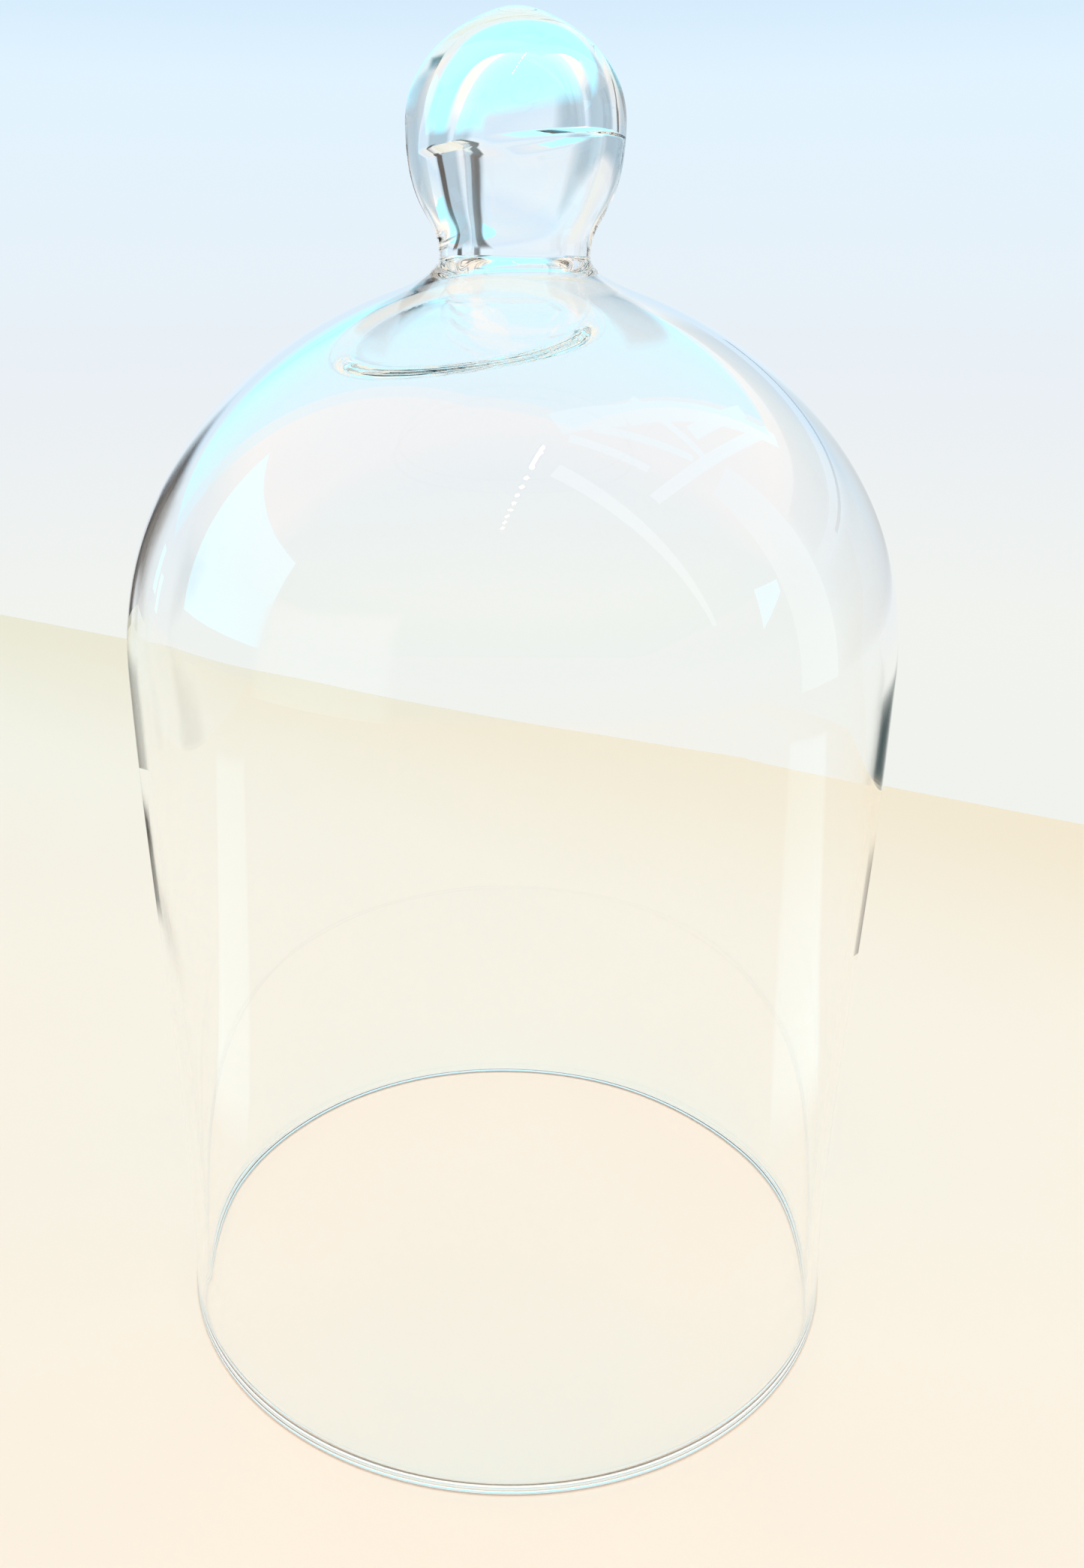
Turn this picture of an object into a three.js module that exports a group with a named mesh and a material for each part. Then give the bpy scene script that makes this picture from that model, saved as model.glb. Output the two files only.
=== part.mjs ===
// Bell jar dome: a cover of clear blown glass with a hollow, bulb-shaped knob on a short neck.
// Units are millimetres, +Z is up, and the origin is the centre of the rim, on the surface that
// the dome stands on. Both pieces are solids of revolution about Z.
import * as THREE from 'three';

// Driving dimensions of the body
const RIM_RADIUS = 111.5;
const WAIST_DRAW = 3.9;
const SHOULDER_RADIUS = 114.3;
const SHOULDER_HEIGHT = 222.7;
const CROWN_RISE = 59.5;
const CROWN_RADIUS = 34;
const CROWN_HEIGHT = 326.2;
const CROWN_SLOPE = 0.324;
const CROWN_REACH = 36.9;

// Driving dimensions of the neck and the knob
const NECK_RADIUS = 21;
const NECK_HEIGHT = 335;
const NECK_FILLET = 8.9;
const NECK_LEAD = 3.1;
const KNOB_RADIUS = 29.7;
const KNOB_HEIGHT = 367.7;
const TOP_HEIGHT = 395.8;
const KNOB_LEAD_LOW = 11.2;
const KNOB_LEAD_HIGH = 23;
const KNOB_CAP_LEAD = 19.5;
const KNOB_CAP_REACH = 6.5;

// Glass thickness, with a thicker pad in the crown where the knob is joined on
const BODY_WALL = 2.6;
const CROWN_WALL = 4.2;
const NECK_WALL = 7.8;
const PAD_DEPTH = 3;
const PAD_RADIUS = 42;
const PAD_EDGE = 8;
const PAD_FADE = 9;

// The knob's hollow: it widens from the neck up to a crease, with a smaller dome above the crease
const HOLLOW_RADIUS = 19.3;
const HOLLOW_HEIGHT = 363.3;
const HOLLOW_FLARE = 0.15;
const HOLLOW_LEAD_LOW = 4;
const HOLLOW_LEAD_HIGH = 10;
const HOLLOW_CAP_RADIUS = 18;
const HOLLOW_CAP_HEIGHT = 364.1;
const HOLLOW_CAP_LEAD = 12;
const HOLLOW_CAP_REACH = 11;
const HOLLOW_TOP = 384;

// Polished rim, and the hot joint between the dome and the knob
const RIM_BEVEL = 0.5;
const JOINT_GAP = 0.3;

// Facets
const BODY_SIDES = 64;
const KNOB_SIDES = 48;
const WALL_STEPS = 6;
const CROWN_STEPS = 10;
const FILLET_STEPS = 4;
const BULB_STEPS = 7;
const CAP_STEPS = 6;

function dropFirst(points) {
  return points.slice(1);
}

// One face of the dome's glass, from the rim up to the joint in the neck. It is the outer face
// when every wall is 0.
function domeSide({ body, crown, neck }) {
  const slope = new THREE.Vector2(-Math.cos(CROWN_SLOPE), Math.sin(CROWN_SLOPE));
  const inward = new THREE.Vector2(-slope.y, slope.x).multiplyScalar(crown);
  const rim = new THREE.Vector2(RIM_RADIUS - body, 0);
  const waist = new THREE.Vector2(rim.x - WAIST_DRAW, SHOULDER_HEIGHT / 3);
  const wallTop = new THREE.Vector2(SHOULDER_RADIUS - body, SHOULDER_HEIGHT * 2 / 3);
  const shoulder = new THREE.Vector2(SHOULDER_RADIUS - body, SHOULDER_HEIGHT);
  const crownStart = new THREE.Vector2(shoulder.x, SHOULDER_HEIGHT + CROWN_RISE - crown);
  const crownEdge = new THREE.Vector2(CROWN_RADIUS, CROWN_HEIGHT).add(inward);
  const crownEnd = crownEdge.clone().addScaledVector(slope, -CROWN_REACH);
  const neckEdge = new THREE.Vector2(NECK_RADIUS - neck, NECK_HEIGHT);
  const filletStart = crownEdge.clone().addScaledVector(slope, NECK_FILLET);
  const filletEnd = new THREE.Vector2(neckEdge.x, NECK_HEIGHT - NECK_LEAD);
  const wallCurve = new THREE.CubicBezierCurve(rim, waist, wallTop, shoulder);
  const crownCurve = new THREE.CubicBezierCurve(shoulder, crownStart, crownEnd, crownEdge);
  const filletCurve = new THREE.CubicBezierCurve(crownEdge, filletStart, filletEnd, neckEdge);
  return [
    ...wallCurve.getPoints(WALL_STEPS),
    ...dropFirst(crownCurve.getPoints(CROWN_STEPS)),
    ...dropFirst(filletCurve.getPoints(FILLET_STEPS)),
  ];
}

// Lowers the inner face over the pad. The pad fades out towards the joint in the neck.
function padded(point) {
  const inward = 1 - THREE.MathUtils.smoothstep(point.x, PAD_RADIUS, PAD_RADIUS + PAD_EDGE);
  const below = Math.min(1, (NECK_HEIGHT - point.y) / PAD_FADE);
  return new THREE.Vector2(point.x, point.y - PAD_DEPTH * inward * below);
}

// The outside of the knob, from the joint in the neck up to the axis.
function knobOutside() {
  const neckEdge = new THREE.Vector2(NECK_RADIUS, NECK_HEIGHT);
  const low = new THREE.Vector2(NECK_RADIUS, NECK_HEIGHT + KNOB_LEAD_LOW);
  const high = new THREE.Vector2(KNOB_RADIUS, KNOB_HEIGHT - KNOB_LEAD_HIGH);
  const equator = new THREE.Vector2(KNOB_RADIUS, KNOB_HEIGHT);
  const lead = new THREE.Vector2(KNOB_RADIUS, KNOB_HEIGHT + KNOB_CAP_LEAD);
  const reach = new THREE.Vector2(KNOB_CAP_REACH, TOP_HEIGHT);
  const top = new THREE.Vector2(0, TOP_HEIGHT);
  const bulbCurve = new THREE.CubicBezierCurve(neckEdge, low, high, equator);
  const capCurve = new THREE.CubicBezierCurve(equator, lead, reach, top);
  return closedAtAxis([
    ...bulbCurve.getPoints(BULB_STEPS),
    ...dropFirst(capCurve.getPoints(CAP_STEPS)),
  ]);
}

// The knob's hollow, from the joint in the neck to the crease and over the small dome to the axis.
function knobInside() {
  const neckEdge = new THREE.Vector2(NECK_RADIUS - NECK_WALL, NECK_HEIGHT);
  const low = new THREE.Vector2(neckEdge.x, NECK_HEIGHT + HOLLOW_LEAD_LOW);
  const high = new THREE.Vector2(
    HOLLOW_RADIUS - HOLLOW_FLARE * HOLLOW_LEAD_HIGH,
    HOLLOW_HEIGHT - HOLLOW_LEAD_HIGH,
  );
  const crease = new THREE.Vector2(HOLLOW_RADIUS, HOLLOW_HEIGHT);
  const capEdge = new THREE.Vector2(HOLLOW_CAP_RADIUS, HOLLOW_CAP_HEIGHT);
  const lead = new THREE.Vector2(HOLLOW_CAP_RADIUS, HOLLOW_CAP_HEIGHT + HOLLOW_CAP_LEAD);
  const reach = new THREE.Vector2(HOLLOW_CAP_REACH, HOLLOW_TOP);
  const top = new THREE.Vector2(0, HOLLOW_TOP);
  const flareCurve = new THREE.CubicBezierCurve(neckEdge, low, high, crease);
  const capCurve = new THREE.CubicBezierCurve(capEdge, lead, reach, top);
  return closedAtAxis([
    ...flareCurve.getPoints(BULB_STEPS),
    ...capCurve.getPoints(CAP_STEPS),
  ]);
}

// Lifts the knob's first point off the joint and puts its last point on the axis.
function closedAtAxis(side) {
  side[0].y += JOINT_GAP;
  side[side.length - 1].x = 0;
  return side;
}

// Turns a profile of radius and height about Z.
function turned(profile, sides) {
  return new THREE.LatheGeometry(profile, sides).rotateX(Math.PI / 2);
}

function domeProfile() {
  const walls = { body: BODY_WALL, crown: CROWN_WALL, neck: NECK_WALL };
  const outside = dropFirst(domeSide({ body: 0, crown: 0, neck: 0 }));
  const inside = dropFirst(domeSide(walls)).map(padded).reverse();
  const rimOut = new THREE.Vector2(RIM_RADIUS, RIM_BEVEL);
  const footOut = new THREE.Vector2(RIM_RADIUS - RIM_BEVEL, 0);
  const footIn = new THREE.Vector2(RIM_RADIUS - BODY_WALL + RIM_BEVEL, 0);
  const rimIn = new THREE.Vector2(RIM_RADIUS - BODY_WALL, RIM_BEVEL);
  return [rimOut, ...outside, ...inside, rimIn, footIn, footOut, rimOut.clone()];
}

// Down the hollow, across the joint, and up the outside to the top.
function knobProfile() {
  return [...knobInside().reverse(), ...knobOutside()];
}

function glass(color) {
  return new THREE.MeshStandardMaterial({
    color, roughness: 0.03, metalness: 0, transparent: true, opacity: 0.35,
  });
}

const group = new THREE.Group();

const domeShell = new THREE.Mesh(turned(domeProfile(), BODY_SIDES), glass(0xdfeff2));
domeShell.name = 'dome_shell';
group.add(domeShell);

const knob = new THREE.Mesh(turned(knobProfile(), KNOB_SIDES), glass(0xd8ecf0));
knob.name = 'knob';
group.add(knob);

export default group;
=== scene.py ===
# Bell jar dome: a clear blown-glass cover with a hollow, bulb-shaped knob, standing on a pale tabletop.
# Everything is in metres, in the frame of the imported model: +Z up, with the rim's centre at the origin.
# The camera's angles are in radians. The table's turn and the cards' azimuths and elevations are in degrees.
import math

import bmesh
import bpy
from mathutils import Matrix, Vector


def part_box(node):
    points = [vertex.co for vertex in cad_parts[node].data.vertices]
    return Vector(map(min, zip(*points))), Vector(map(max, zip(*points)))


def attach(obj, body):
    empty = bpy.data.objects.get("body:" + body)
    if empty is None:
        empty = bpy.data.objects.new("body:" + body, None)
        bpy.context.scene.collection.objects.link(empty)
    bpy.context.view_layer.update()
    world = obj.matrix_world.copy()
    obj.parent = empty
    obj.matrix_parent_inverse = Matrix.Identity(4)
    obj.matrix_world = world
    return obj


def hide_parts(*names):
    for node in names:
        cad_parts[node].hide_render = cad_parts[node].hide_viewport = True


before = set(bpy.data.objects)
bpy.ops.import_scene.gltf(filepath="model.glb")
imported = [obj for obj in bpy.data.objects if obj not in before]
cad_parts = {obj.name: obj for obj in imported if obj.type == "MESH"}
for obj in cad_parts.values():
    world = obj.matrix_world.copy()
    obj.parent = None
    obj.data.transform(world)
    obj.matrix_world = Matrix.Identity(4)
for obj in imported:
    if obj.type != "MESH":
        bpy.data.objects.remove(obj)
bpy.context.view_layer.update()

MM = 0.001
shell_low, shell_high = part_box("dome_shell")
knob_low, knob_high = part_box("knob")

# Sizes read from the frame
SHOULDER_RADIUS = shell_high.x
JOINT_HEIGHT = shell_high.z
KNOB_RADIUS = knob_high.x
TOP_HEIGHT = knob_high.z

# The outer outline, as in the part's own source
RIM_RADIUS = 111.5 * MM
WAIST_DRAW = 3.9 * MM
SHOULDER_HEIGHT = 222.7 * MM
CROWN_RISE = 59.5 * MM
CROWN_RADIUS = 34 * MM
CROWN_HEIGHT = 326.2 * MM
CROWN_SLOPE = 0.324
CROWN_REACH = 36.9 * MM
NECK_RADIUS = 21 * MM
NECK_FILLET = 8.9 * MM
NECK_LEAD = 3.1 * MM
KNOB_HEIGHT = 367.7 * MM
KNOB_LEAD_LOW = 11.2 * MM
KNOB_LEAD_HIGH = 23 * MM
KNOB_CAP_LEAD = 19.5 * MM
KNOB_CAP_REACH = 6.5 * MM
RIM_BEVEL = 0.5 * MM

# Glass thickness, with a bead round the foot and an oval pad in the crown, under the knob
BODY_WALL = 2.6 * MM
CROWN_WALL = 4.2 * MM
NECK_WALL = 7.8 * MM
BEAD_DEPTH = 0.9 * MM
BEAD_RISE = 4 * MM
PAD_DEPTH = 2.2 * MM
PAD_RADIUS = 19 * MM
PAD_STRETCH = 1.6
PAD_EDGE = 5 * MM
PAD_CENTRE = (-12 * MM, -42 * MM)
PAD_FADE = 6.6 * MM

# The knob's hollow: a flaring wall up to a crease, with a smaller dome above, blown a little off the axis
HOLLOW_RADIUS = 19.3 * MM
HOLLOW_HEIGHT = 363.3 * MM
HOLLOW_FLARE = 0.1
HOLLOW_LEAD_LOW = 12 * MM
HOLLOW_LEAD_HIGH = 17 * MM
HOLLOW_CAP_RADIUS = 18 * MM
HOLLOW_CAP_HEIGHT = 364.1 * MM
HOLLOW_CAP_LEAD = 12 * MM
HOLLOW_CAP_REACH = 11 * MM
HOLLOW_TOP = 384 * MM
HOLLOW_SHIFTS = (
    (335 * MM, 0.8 * MM),
    (361 * MM, 3.4 * MM),
    (363.3 * MM, 3.4 * MM),
    (364.1 * MM, 0.6 * MM),
)
HOLLOW_TILT = 0.11

# The slow unevenness of the dome's two faces, which fades out towards the rim and the neck
OUTER_RIPPLE = 0.10 * MM
OUTER_PHASE = 0.4
INNER_RIPPLE = 0.16 * MM
INNER_PHASE = 2.9
RIM_CALM = 25 * MM
NECK_CALM = 40 * MM

# Facets, the smallest radius that isn't the axis, and the size of a rounding error
SIDES = 192
WALL_STEPS = 120
CROWN_STEPS = 90
FILLET_STEPS = 24
BULB_STEPS = 60
FLARE_STEPS = 50
CAP_STEPS = 60
AXIS_RADIUS = 1e-7
ROUNDING = 1e-5


# ---------------------------------------------------------------- outlines

def bezier(a, b, c, d, steps):
    """Points along a cubic curve, both ends included."""
    points = []
    for i in range(steps + 1):
        t = i / steps
        s = 1 - t
        points.append(a * s ** 3 + b * (3 * s * s * t) + c * (3 * s * t * t) + d * t ** 3)
    return points


def smooth(t):
    """Turns a share from 0 to 1 into one that starts and ends gently."""
    t = min(1, max(0, t))
    return t * t * (3 - 2 * t)


def dome_face(body, crown, neck):
    """One face of the dome's glass, from the rim up to the joint. With no thickness it is the outside."""
    slope = Vector((-math.cos(CROWN_SLOPE), math.sin(CROWN_SLOPE)))
    inward = Vector((-slope.y, slope.x)) * crown
    rim = Vector((RIM_RADIUS - body, 0))
    waist = Vector((rim.x - WAIST_DRAW, SHOULDER_HEIGHT / 3))
    wall_top = Vector((SHOULDER_RADIUS - body, SHOULDER_HEIGHT * 2 / 3))
    shoulder = Vector((SHOULDER_RADIUS - body, SHOULDER_HEIGHT))
    crown_start = Vector((shoulder.x, SHOULDER_HEIGHT + CROWN_RISE - crown))
    crown_edge = Vector((CROWN_RADIUS, CROWN_HEIGHT)) + inward
    neck_edge = Vector((NECK_RADIUS - neck, JOINT_HEIGHT))
    fillet_end = Vector((neck_edge.x, JOINT_HEIGHT - NECK_LEAD))
    face = bezier(rim, waist, wall_top, shoulder, WALL_STEPS)
    face += bezier(shoulder, crown_start, crown_edge - slope * CROWN_REACH, crown_edge, CROWN_STEPS)[1:]
    face += bezier(crown_edge, crown_edge + slope * NECK_FILLET, fillet_end, neck_edge, FILLET_STEPS)[1:]
    return face


def pad_depth(x, y, height):
    """How much thicker the crown is at a point, in the oval pad where the knob's glass was joined to it."""
    radius = math.hypot((x - PAD_CENTRE[0]) / PAD_STRETCH, y - PAD_CENTRE[1])
    inward = smooth((PAD_RADIUS + PAD_EDGE / 2 - radius) / PAD_EDGE)
    return PAD_DEPTH * inward * min(1, (JOINT_HEIGHT - height) / PAD_FADE)


def knob_outside():
    neck_edge = Vector((NECK_RADIUS, JOINT_HEIGHT))
    equator = Vector((KNOB_RADIUS, KNOB_HEIGHT))
    low = neck_edge + Vector((0, KNOB_LEAD_LOW))
    high = equator - Vector((0, KNOB_LEAD_HIGH))
    lead = equator + Vector((0, KNOB_CAP_LEAD))
    reach = Vector((KNOB_CAP_REACH, TOP_HEIGHT))
    top = Vector((0, TOP_HEIGHT))
    bulb = bezier(neck_edge, low, high, equator, BULB_STEPS)
    cap = bezier(equator, lead, reach, top, CAP_STEPS)
    return bulb + cap[1:]


def knob_inside():
    """Up the flaring hollow to its crease, then over the small dome to the axis."""
    neck_edge = Vector((NECK_RADIUS - NECK_WALL, JOINT_HEIGHT))
    crease = Vector((HOLLOW_RADIUS, HOLLOW_HEIGHT))
    low = neck_edge + Vector((0, HOLLOW_LEAD_LOW))
    high = crease - Vector((HOLLOW_FLARE, 1)) * HOLLOW_LEAD_HIGH
    cap_edge = Vector((HOLLOW_CAP_RADIUS, HOLLOW_CAP_HEIGHT))
    lead = cap_edge + Vector((0, HOLLOW_CAP_LEAD))
    reach = Vector((HOLLOW_CAP_REACH, HOLLOW_TOP))
    top = Vector((0, HOLLOW_TOP))
    flare = bezier(neck_edge, low, high, crease, FLARE_STEPS)
    cap = bezier(cap_edge, lead, reach, top, CAP_STEPS)
    return flare + cap


def hollow_shift(height):
    """How far off the axis the hollow is at a height, easing from one listed shift to the next."""
    for (low, before), (high, after) in zip(HOLLOW_SHIFTS, HOLLOW_SHIFTS[1:]):
        if height <= high:
            return before + (after - before) * smooth((height - low) / (high - low))
    return HOLLOW_SHIFTS[-1][1]


# ---------------------------------------------------------------- meshes

def spin(profile, wave, closed):
    """A surface turned about Z, as a bmesh. wave(angle, radius, height, index) gives each point's place."""
    bm = bmesh.new()
    rings = []
    for index, point in enumerate(profile):
        if point.x < AXIS_RADIUS:
            rings.append([bm.verts.new(wave(0, 0, point.y, index))])
            continue
        ring = []
        for side in range(SIDES):
            angle = 2 * math.pi * side / SIDES
            ring.append(bm.verts.new(wave(angle, point.x, point.y, index)))
        rings.append(ring)
    pairs = list(zip(rings, rings[1:]))
    if closed:
        pairs.append((rings[-1], rings[0]))
    for low, high in pairs:
        for side in range(SIDES):
            after = (side + 1) % SIDES
            if len(low) == 1:
                bm.faces.new((low[0], high[after], high[side]))
            elif len(high) == 1:
                bm.faces.new((low[side], low[after], high[0]))
            else:
                bm.faces.new((low[side], low[after], high[after], high[side]))
    return bm


def finish_mesh(bm, name, materials, pick_slot):
    """Smooth mesh object with a sharp edge where its material changes."""
    for face in bm.faces:
        face.smooth = True
        face.material_index = pick_slot(face)
    for edge in bm.edges:
        slots = {face.material_index for face in edge.link_faces}
        edge.smooth = len(slots) == 1
    mesh = bpy.data.meshes.new(name)
    bm.to_mesh(mesh)
    bm.free()
    for material in materials:
        mesh.materials.append(material)
    piece = bpy.data.objects.new(name, mesh)
    bpy.context.scene.collection.objects.link(piece)
    return piece


def ripple(angle, height, phase):
    """The slow unevenness of blown glass, from about -1 to 1."""
    slow = math.sin(2 * angle + 17 * height + phase)
    tilt = math.sin(3 * angle - 31 * height + 2.1 * phase)
    cords = math.sin(5 * angle + 9 * height + 3.7 * phase) * math.sin(40 * height + phase)
    streaks = math.sin(11 * angle - 5 * height + 1.3 * phase)
    return 0.45 * slow + 0.3 * tilt + 0.15 * cords + 0.1 * streaks


def dome_glass(clear, ground, fused):
    """The dome: up the outside, down the inside and across the foot, in clear glass with a ground rim."""
    outside = dome_face(0, 0, 0)
    inside = dome_face(BODY_WALL, CROWN_WALL, NECK_WALL)
    outside[0] = Vector((RIM_RADIUS, RIM_BEVEL))
    inside[0] = Vector((RIM_RADIUS - BODY_WALL, RIM_BEVEL))
    foot_in = Vector((RIM_RADIUS - BODY_WALL + RIM_BEVEL, 0))
    foot_out = Vector((RIM_RADIUS - RIM_BEVEL, 0))
    profile = outside + inside[::-1] + [foot_in, foot_out]
    outer_count = len(outside)
    inner_end = outer_count + len(inside)

    def wave(angle, radius, height, index):
        calm = min(1, max(0, (JOINT_HEIGHT - height) / NECK_CALM))
        inner = outer_count <= index < inner_end
        beaded = inner or index == inner_end
        shift = hollow_shift(JOINT_HEIGHT) * (1 - calm) ** 2 if inner else 0
        grip = min(1, height / RIM_CALM) * calm
        phase = INNER_PHASE if inner else OUTER_PHASE
        depth = INNER_RIPPLE if inner else OUTER_RIPPLE
        bead = BEAD_DEPTH * (1 - smooth(height / BEAD_RISE)) if beaded else 0
        r = radius - bead + grip * depth * ripple(angle, height, phase)
        x = r * math.cos(angle) + shift
        y = r * math.sin(angle)
        drop = pad_depth(x, y, height) if inner else 0
        return x, y, height - drop

    bm = spin(profile, wave, closed=True)

    def pick_slot(face):
        heights = [v.co.z for v in face.verts]
        if min(heights) > JOINT_HEIGHT - ROUNDING:
            return 2
        if max(heights) < RIM_BEVEL + ROUNDING:
            return 1
        return 0

    return finish_mesh(bm, "dome_glass", [clear, ground, fused], pick_slot)


def knob_glass(clear, fused):
    """The knob: down the hollow and up the outside, with its hollow shifted and tilted off the axis."""
    outside = knob_outside()
    inside = knob_inside()
    profile = inside[::-1] + outside
    inner_count = len(inside)

    def wave(angle, radius, height, index):
        x = radius * math.cos(angle)
        y = radius * math.sin(angle)
        if index >= inner_count:
            return x, y, height
        rise = min(1, max(0, (height - JOINT_HEIGHT) / (HOLLOW_HEIGHT - JOINT_HEIGHT)))
        return x + hollow_shift(height), y, height + HOLLOW_TILT * x * rise ** 3

    bm = spin(profile, wave, closed=False)

    def pick_slot(face):
        return 1 if max(v.co.z for v in face.verts) < JOINT_HEIGHT + ROUNDING else 0

    return finish_mesh(bm, "knob_glass", [clear, fused], pick_slot)


# ---------------------------------------------------------------- materials

def node_material(name):
    material = bpy.data.materials.new(name)
    material.use_nodes = True
    nodes = material.node_tree.nodes
    return material, nodes, material.node_tree.links, nodes["Principled BSDF"]


def clear_glass():
    """Nearly colourless glass, with a faint orange-peel unevenness."""
    material, nodes, links, shader = node_material("clear_glass")
    shader.inputs["Base Color"].default_value = (0.996, 0.999, 1.0, 1)
    shader.inputs["Transmission Weight"].default_value = 1
    shader.inputs["IOR"].default_value = 1.51
    shader.inputs["Roughness"].default_value = 0
    where = nodes.new("ShaderNodeTexCoord")
    peel = nodes.new("ShaderNodeTexNoise")
    peel.inputs["Scale"].default_value = 28
    peel.inputs["Detail"].default_value = 1
    bump = nodes.new("ShaderNodeBump")
    bump.inputs["Strength"].default_value = 0.05
    bump.inputs["Distance"].default_value = 0.6 * MM
    links.new(where.outputs["Object"], peel.inputs["Vector"])
    links.new(peel.outputs["Fac"], bump.inputs["Height"])
    links.new(bump.outputs["Normal"], shader.inputs["Normal"])
    return material


def ground_rim():
    """The foot's glass, ground flat and then polished, so that only traces of the grinding are left."""
    material, nodes, links, shader = node_material("ground_rim")
    shader.inputs["Base Color"].default_value = (1, 1, 1, 1)
    shader.inputs["Transmission Weight"].default_value = 1
    shader.inputs["IOR"].default_value = 1.51
    where = nodes.new("ShaderNodeTexCoord")
    grit = nodes.new("ShaderNodeTexNoise")
    grit.inputs["Scale"].default_value = 900
    grit.inputs["Detail"].default_value = 3
    spread = nodes.new("ShaderNodeMapRange")
    spread.inputs["To Min"].default_value = 0
    spread.inputs["To Max"].default_value = 0.06
    links.new(where.outputs["Object"], grit.inputs["Vector"])
    links.new(grit.outputs["Fac"], spread.inputs["Value"])
    links.new(spread.outputs["Result"], shader.inputs["Roughness"])
    return material


def fused_joint():
    """The knob and the dome are one glass here, so the two touching faces don't bend or reflect light."""
    material = bpy.data.materials.new("fused_joint")
    material.use_nodes = True
    nodes = material.node_tree.nodes
    nodes.remove(nodes["Principled BSDF"])
    through = nodes.new("ShaderNodeBsdfTransparent")
    material.node_tree.links.new(through.outputs[0], nodes["Material Output"].inputs["Surface"])
    return material


def tabletop():
    """A plain pale top, a little mottled, and tan towards its far edge."""
    material, nodes, links, shader = node_material("tabletop")
    shader.inputs["Roughness"].default_value = 0.7
    shader.inputs["Specular IOR Level"].default_value = 0.05
    where = nodes.new("ShaderNodeTexCoord")
    mottle = nodes.new("ShaderNodeTexNoise")
    mottle.inputs["Scale"].default_value = 5
    ramp = nodes.new("ShaderNodeValToRGB")
    ramp.color_ramp.elements[0].color = (0.875, 0.80, 0.705, 1)
    ramp.color_ramp.elements[1].color = (0.905, 0.83, 0.735, 1)
    place = nodes.new("ShaderNodeSeparateXYZ")
    far = nodes.new("ShaderNodeMapRange")
    far.interpolation_type = "SMOOTHSTEP"
    far.inputs["From Min"].default_value = -0.32
    far.inputs["From Max"].default_value = 0.02
    tan = nodes.new("ShaderNodeMix")
    tan.data_type = "RGBA"
    tan.inputs["B"].default_value = (0.87, 0.74, 0.58, 1)
    links.new(where.outputs["Object"], mottle.inputs["Vector"])
    links.new(where.outputs["Object"], place.inputs["Vector"])
    links.new(place.outputs["Y"], far.inputs["Value"])
    links.new(mottle.outputs["Fac"], ramp.inputs["Fac"])
    links.new(far.outputs["Result"], tan.inputs["Factor"])
    links.new(ramp.outputs["Color"], tan.inputs["A"])
    links.new(tan.outputs["Result"], shader.inputs["Base Color"])
    return material


# ---------------------------------------------------------------- stage, light and camera

TABLE_EDGE_DISTANCE = 0.628
TABLE_EDGE_TURN = -31.2
TABLE_WIDTH = 6
TABLE_DEPTH = 4
TABLE_THICKNESS = 0.03
TABLE_BEVEL = 0.002
TABLE_SINK = 0.2 * MM
CEILING_RISE = 2.0
STRIP_DROP = 0.01
STRIP_LIFT = 0.002
STRIP_START = 0.2
CARD_STEPS = 14

# The backdrop's colours, by the sine of the elevation
BACKDROP = (
    (-1, (0.86, 0.86, 0.83)),
    (-0.22, (0.88, 0.90, 0.86)),
    (-0.08, (0.83, 0.87, 0.91)),
    (0.125, (0.76, 0.90, 1.0)),
    (0.18, (0.66, 0.83, 0.98)),
    (0.36, (0.80, 0.89, 0.94)),
    (0.55, (1.45, 1.14, 0.95)),
    (1, (1.45, 1.14, 0.95)),
)


def stage_table(material):
    """A plain pale tabletop whose far edge runs slantwise behind the dome."""
    bm = bmesh.new()
    bmesh.ops.create_cube(bm, size=1)
    for vert in bm.verts:
        vert.co.x *= TABLE_WIDTH
        vert.co.y = (vert.co.y - 0.5) * TABLE_DEPTH
        vert.co.z = (vert.co.z - 0.5) * TABLE_THICKNESS
    bmesh.ops.bevel(bm, geom=bm.edges[:], offset=TABLE_BEVEL, segments=2, affect="EDGES")
    mesh = bpy.data.meshes.new("tabletop")
    bm.to_mesh(mesh)
    bm.free()
    mesh.materials.append(material)
    table = bpy.data.objects.new("tabletop", mesh)
    bpy.context.scene.collection.objects.link(table)
    table.location = (0, TABLE_EDGE_DISTANCE, -TABLE_SINK)
    table.rotation_euler.z = math.radians(TABLE_EDGE_TURN)


def reflector(name, rows, fades, shade, through, diffuse):
    """A grid of points as a card for the glass to reflect, which the camera doesn't see.

    Only with through does it show in light that has passed through the glass, and only with diffuse does it
    light the table."""
    across = len(rows[0])
    points = [point for row in rows for point in row]
    faces = []
    for i in range(len(rows) - 1):
        for j in range(across - 1):
            k = i * across + j
            faces.append((k, k + 1, k + across + 1, k + across))
    mesh = bpy.data.meshes.new(name)
    mesh.from_pydata(points, [], faces)
    fade = mesh.attributes.new("fade", "FLOAT", "POINT")
    fade.data.foreach_set("value", [value for row in fades for value in row])
    mesh.materials.append(shade)
    card = bpy.data.objects.new(name, mesh)
    card.visible_camera = False
    card.visible_diffuse = diffuse
    card.visible_shadow = False
    card.visible_transmission = through
    bpy.context.scene.collection.objects.link(card)


def between(start, end, t):
    return start + (end - start) * t


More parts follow.
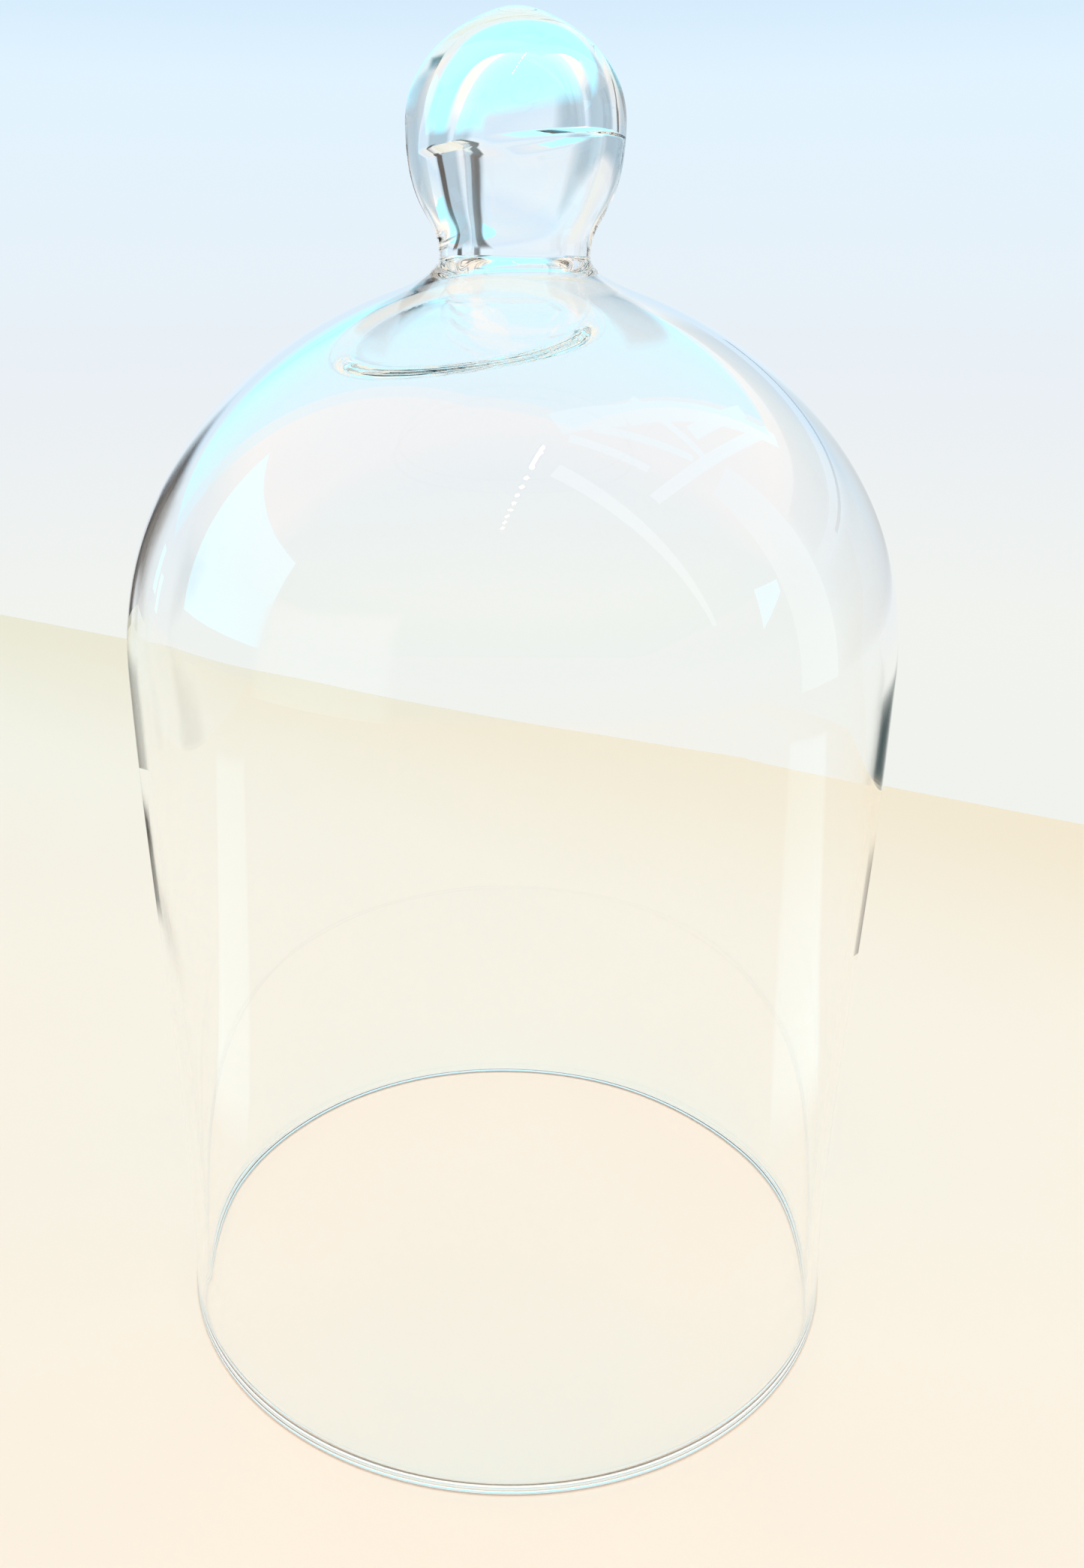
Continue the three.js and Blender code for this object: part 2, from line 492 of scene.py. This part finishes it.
def patch(name, place, corners, shade, soft=0.0, through=False, diffuse=False):
    """A four-sided card, given by low left, low right, high right and high left.

    Each point of it is put in the room by place, and with soft its edges fade away over that share of it."""
    low_left, low_right, high_right, high_left = (Vector(corner) for corner in corners)
    rows = []
    fades = []
    shares = [i / CARD_STEPS for i in range(CARD_STEPS + 1)]
    for v in shares:
        left = between(low_left, high_left, v)
        right = between(low_right, high_right, v)
        rows.append([place(*between(left, right, u)) for u in shares])
        inset = [min(v, 1 - v, u, 1 - u) for u in shares]
        fades.append([smooth(d / soft) if soft else 1.0 for d in inset])
    reflector(name, rows, fades, shade, through, diffuse)


def ceiling(name, corners, shade, drop=0.0, **seen):
    """A card overhead. Its corners are in multiples of the ceiling's height over the crown."""
    def place(x, y):
        return Vector((x * CEILING_RISE, y * CEILING_RISE, CROWN_HEIGHT + CEILING_RISE - drop))

    patch(name, place, corners, shade, **seen)


def ceiling_strip(name, path, width, shade):
    """A strip along a path on the ceiling, hung just under it."""
    for i, (start, end) in enumerate(zip(path, path[1:])):
        along = Vector(end) - Vector(start)
        side = Vector((-along.y, along.x)).normalized() * width / 2
        corners = (Vector(start) - side, Vector(end) - side, Vector(end) + side, Vector(start) + side)
        ceiling(f"{name}_{i}", corners, shade, drop=STRIP_DROP)


def wall(name, seen_from, distance, corners, shade, **seen):
    """A card on a sphere round a place on the glass, by its corners' azimuths and elevations from there."""
    def place(azimuth, elevation):
        a = math.radians(azimuth)
        e = math.radians(elevation)
        sight = Vector((math.cos(a) * math.cos(e), math.sin(a) * math.cos(e), math.sin(e)))
        return Vector(seen_from) + sight * distance

    patch(name, place, corners, shade, **seen)


def seen_wall(name, seen_from, distance, corners, shade, soft):
    """A card like those of wall, which also shows in light that has passed through the glass."""
    wall(name, seen_from, distance, corners, shade, soft=soft, through=True)


def table_light(name, azimuth, reach, near, far):
    """A pale card just over the table that runs outward from the dome, for its sides to reflect."""
    turn = math.radians(azimuth)

    def place(along, across):
        x = along * math.cos(turn) - across * math.sin(turn)
        y = along * math.sin(turn) + across * math.cos(turn)
        return Vector((x, y, STRIP_LIFT))

    end = STRIP_START + reach
    corners = ((STRIP_START, -near), (end, -far), (end, far), (STRIP_START, near))
    patch(name, place, corners, pale, soft=0.1)


def glow(name, color):
    """Light of one colour, which fades to nothing with the card's fade."""
    material = bpy.data.materials.new(name)
    material.use_nodes = True
    nodes = material.node_tree.nodes
    links = material.node_tree.links
    nodes.remove(nodes["Principled BSDF"])
    emission = nodes.new("ShaderNodeEmission")
    emission.inputs["Color"].default_value = (*color, 1)
    clear = nodes.new("ShaderNodeBsdfTransparent")
    fade = nodes.new("ShaderNodeAttribute")
    fade.attribute_name = "fade"
    mix = nodes.new("ShaderNodeMixShader")
    links.new(fade.outputs["Fac"], mix.inputs[0])
    links.new(clear.outputs[0], mix.inputs[1])
    links.new(emission.outputs[0], mix.inputs[2])
    links.new(mix.outputs[0], nodes["Material Output"].inputs["Surface"])
    return material


def studio_world():
    """A pale backdrop all round, which turns from warm to blue as it rises, and lights the table."""
    world = bpy.data.worlds.new("studio")
    bpy.context.scene.world = world
    world.use_nodes = True
    nodes = world.node_tree.nodes
    links = world.node_tree.links
    where = nodes.new("ShaderNodeTexCoord")
    split = nodes.new("ShaderNodeSeparateXYZ")
    height = nodes.new("ShaderNodeMapRange")
    height.inputs["From Min"].default_value = -1
    height.inputs["From Max"].default_value = 1
    ramp = nodes.new("ShaderNodeValToRGB")
    stops = ramp.color_ramp.elements
    stops[0].position = 0
    stops[0].color = (*BACKDROP[0][1], 1)
    stops[1].position = 1
    stops[1].color = (*BACKDROP[-1][1], 1)
    for sine, color in BACKDROP[1:-1]:
        stop = stops.new((sine + 1) / 2)
        stop.color = (*color, 1)
    links.new(where.outputs["Generated"], split.inputs["Vector"])
    links.new(split.outputs["Z"], height.inputs["Value"])
    links.new(height.outputs["Result"], ramp.inputs["Fac"])
    links.new(ramp.outputs["Color"], nodes["Background"].inputs["Color"])


# The camera's place, turn and lens
CAMERA_BACK = 0.3928
CAMERA_HEIGHT = 0.3286
CAMERA_YAW = -0.011
CAMERA_PITCH = 0.366
CAMERA_ROLL = 0.004
CAMERA_LENS = 30.13
CAMERA_SHIFT = 0.0287


def photo_camera():
    data = bpy.data.cameras.new("camera")
    data.sensor_width = 36
    data.lens = CAMERA_LENS
    data.shift_x = CAMERA_SHIFT
    data.clip_start = 0.01
    camera = bpy.data.objects.new("camera", data)
    bpy.context.scene.collection.objects.link(camera)
    ahead = Vector((math.sin(CAMERA_YAW) * math.cos(CAMERA_PITCH),
                    math.cos(CAMERA_YAW) * math.cos(CAMERA_PITCH), -math.sin(CAMERA_PITCH)))
    right = Vector((math.cos(CAMERA_YAW), -math.sin(CAMERA_YAW), 0))
    up = right.cross(ahead)
    side = right * math.cos(CAMERA_ROLL) + up * math.sin(CAMERA_ROLL)
    top = up * math.cos(CAMERA_ROLL) - right * math.sin(CAMERA_ROLL)
    turn = Matrix((side, top, -ahead)).transposed().to_4x4()
    camera.matrix_world = Matrix.Translation((0, -CAMERA_BACK, CAMERA_HEIGHT)) @ turn
    bpy.context.scene.camera = camera


photo_camera()
studio_world()
stage_table(tabletop())

# Places that the cards are set out from
LEFT_EDGE = (-0.105, 0.03, 0.25)
LEFT_FOOT = (-0.105, 0.03, 0.16)
LEFT_FACE = (-0.06, -0.07, 0.26)
RIGHT_EDGE = (0.105, 0.03, 0.2)
RIGHT_FOOT = (0.105, 0.03, 0.14)
RIGHT_FACE = (0.07, -0.07, 0.25)
KNOB_MIDDLE = (0, 0, KNOB_HEIGHT)

sky = glow("sky", (0.5, 1.15, 1.4))
pane = glow("pane", (0.9, 2.6, 3.4))
pale = glow("pale", (1.3, 1.5, 1.55))
beam = glow("beam", (1.3, 1.9, 2.1))
warm = glow("warm", (90, 60, 30))
dim = glow("dim", (0.25, 0.85, 0.95))
dusk = glow("dusk", (0.05, 0.04, 0.035))
shadow = glow("shadow", (0.07, 0.10, 0.10))
brown = glow("brown", (0.30, 0.27, 0.24))
grey = glow("grey", (0.52, 0.52, 0.50))
haze = glow("haze", (0.42, 0.55, 0.64))

# A skylight overhead and behind, with its frame, and the beams of a darker ceiling in front
SKYLIGHT = (
    ("left", ((-0.16, 0.11), (0.02, 0.06), (-0.8, 3.0), (-4.4, 3.4))),
    ("right", ((0.02, 0.06), (0.22, 0.0), (1.27, 1.10), (0.88, 1.66))),
    ("back", ((0.02, 0.06), (0.88, 1.66), (0.3, 2.4), (-0.8, 3.0))),
)
for side, corners in SKYLIGHT:
    ceiling(f"skylight_{side}", corners, sky, through=True, diffuse=True)
ceiling("dim_ceiling", ((-3, -4), (3, -4), (3, -0.1), (-3, -0.1)), dim, soft=0.05)
ceiling_strip("frame", ((0.16, -0.06), (0.42, 0.10), (1.42, 1.05)), 0.13, beam)
ceiling_strip("beam_a", ((0.44, 0.24), (0.87, 0.12)), 0.05, beam)
ceiling_strip("beam_b", ((1.05, 0.88), (0.76, 0.23)), 0.09, beam)
ceiling_strip("beam_c", ((1.31, 1.03), (0.88, 0.03), (0.72, -0.37)), 0.09, beam)
ceiling_strip("beam_d", ((0.31, -0.04), (0.82, 0.05)), 0.05, beam)
ceiling_strip("beam_e", ((0.22, -0.13), (0.61, -0.18)), 0.05, beam)
ceiling_strip("long_beam", ((0.18, -0.34), (3.1, -1.84)), 0.09, beam)

# A row of small lamps overhead, which draw closer together, and a longer lamp over its start
LAMPS = 10
LAMP_WIDTH = 0.014
LAMP_CROWDING = 0.8
FIRST_LAMP = Vector((0.11, -0.25))
LAST_LAMP = Vector((-0.06, -0.78))
LAMP_START = Vector((-0.009, 0))
LAMP_END = Vector((0.007, 0.012))
for i in range(LAMPS):
    middle = between(FIRST_LAMP, LAST_LAMP, (i / (LAMPS - 1)) ** LAMP_CROWDING)
    ceiling_strip(f"lamp_{i}", (middle + LAMP_START, middle + LAMP_END), LAMP_WIDTH, warm)
ceiling_strip("lamp_row", ((0.12, -0.2), (0.075, -0.33)), LAMP_WIDTH, warm)

# Windows and walls round about
wall("left_window", LEFT_FACE, 4, ((163, 3), (196, 5), (198, 29), (154, 37)), pane)
wall("left_sash_a", LEFT_EDGE, 4, ((143, -1), (145.5, -1), (144.5, 6), (142, 6)), pane)
wall("left_sash_b", LEFT_EDGE, 4, ((147.5, -3), (149, -3), (148.5, 3), (146.5, 3)), pane)
wall("right_pane", RIGHT_FACE, 4, ((-15.3, 10.7), (-4.8, 17), (-4.4, 20), (-14, 21)), pane)
wall("right_strip", RIGHT_FACE, 1.4, ((-4, -8), (12.5, -8), (12.5, 46), (-4, 46)), pale)
wall("right_wall", RIGHT_FACE, 3, ((13, 17), (75, 17), (75, 28), (13, 28)), grey, soft=0.06)
wall("right_shade", RIGHT_FACE, 1.2, ((13, -8), (74, -8), (72, 14), (13, 14)), grey, soft=0.12)
wall("right_rail", RIGHT_EDGE, 3, ((28, 15.1), (74, 13), (74, 14), (28, 16.1)), dusk)

# Dark and dull things beside the dome, which draw its edges
seen_wall("right_dark", RIGHT_EDGE, 2, ((38, -26), (66, -24), (66, -12), (44, -16)), shadow, soft=0.35)
seen_wall("left_dark", LEFT_EDGE, 8, ((116, -16), (126, -16), (126, 5), (117, 3)), dusk, soft=0.2)
wall("left_shade", LEFT_EDGE, 2, ((118, -12), (144, -12), (142, 13), (118, 9)), brown, soft=0.3)
seen_wall("left_dark_high", LEFT_EDGE, 8, ((112, -4), (136, -4), (134, 12.5), (114, 12.5)), dusk, soft=0.25)
wall("left_low", LEFT_EDGE, 0.55, ((114, -33), (140, -33), (140, -15), (114, -15)), dusk, soft=0.25)
wall("left_foot", LEFT_FOOT, 0.25, ((112, -36), (138, -36), (138, -19), (112, -19)), dusk, soft=0.25)
wall("right_foot", RIGHT_FOOT, 0.25, ((42, -40), (70, -40), (70, -19), (42, -19)), brown, soft=0.25)

# Pale things low beside the dome
wall("left_sheet", LEFT_FACE, 2, ((-166, -20), (-120, -20), (-120, 26), (-166, 18)), pale, soft=0.1)
table_light("left_table_light", -170, 0.5, 0.03, 0.07)
table_light("right_table_light", -4, 0.6, 0.05, 0.11)

# Sky over the knob and dull room beside it, set close round it for its thick glass to bend and mirror
KNOB_CARDS = (
    ("knob_sky", 0.05, ((10, 16), (150, 16), (150, 82), (10, 82)), sky, 0.1),
    ("knob_left_sky", 0.052, ((112, 8), (175, 8), (175, 50), (112, 50)), sky, 0.15),
    ("knob_left_shade", 0.06, ((108, -26), (130, -26), (152, 4), (134, 4)), dusk, 0.2),
    ("knob_left_haze", 0.065, ((120, -20), (175, -20), (175, 14), (120, 14)), haze, 0.15),
    ("knob_right_haze", 0.065, ((5, -14), (76, -14), (70, 24), (5, 24)), haze, 0.12),
)
for name, distance, corners, shade, soft in KNOB_CARDS:
    seen_wall(name, KNOB_MIDDLE, distance, corners, shade, soft)

clear = clear_glass()
fused = fused_joint()
dome = dome_glass(clear, ground_rim(), fused)
knob = knob_glass(clear, fused)
for piece, node in ((dome, "dome_shell"), (knob, "knob")):
    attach(piece, "root")
    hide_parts(node)

# Glass needs many bounces, and sharp reflections inside it
BOUNCES = 64
scene = bpy.context.scene
scene.view_settings.view_transform = "Standard"
scene.cycles.use_denoising = True
scene.cycles.blur_glossy = 0
scene.cycles.max_bounces = BOUNCES
scene.cycles.transmission_bounces = BOUNCES
scene.cycles.glossy_bounces = BOUNCES
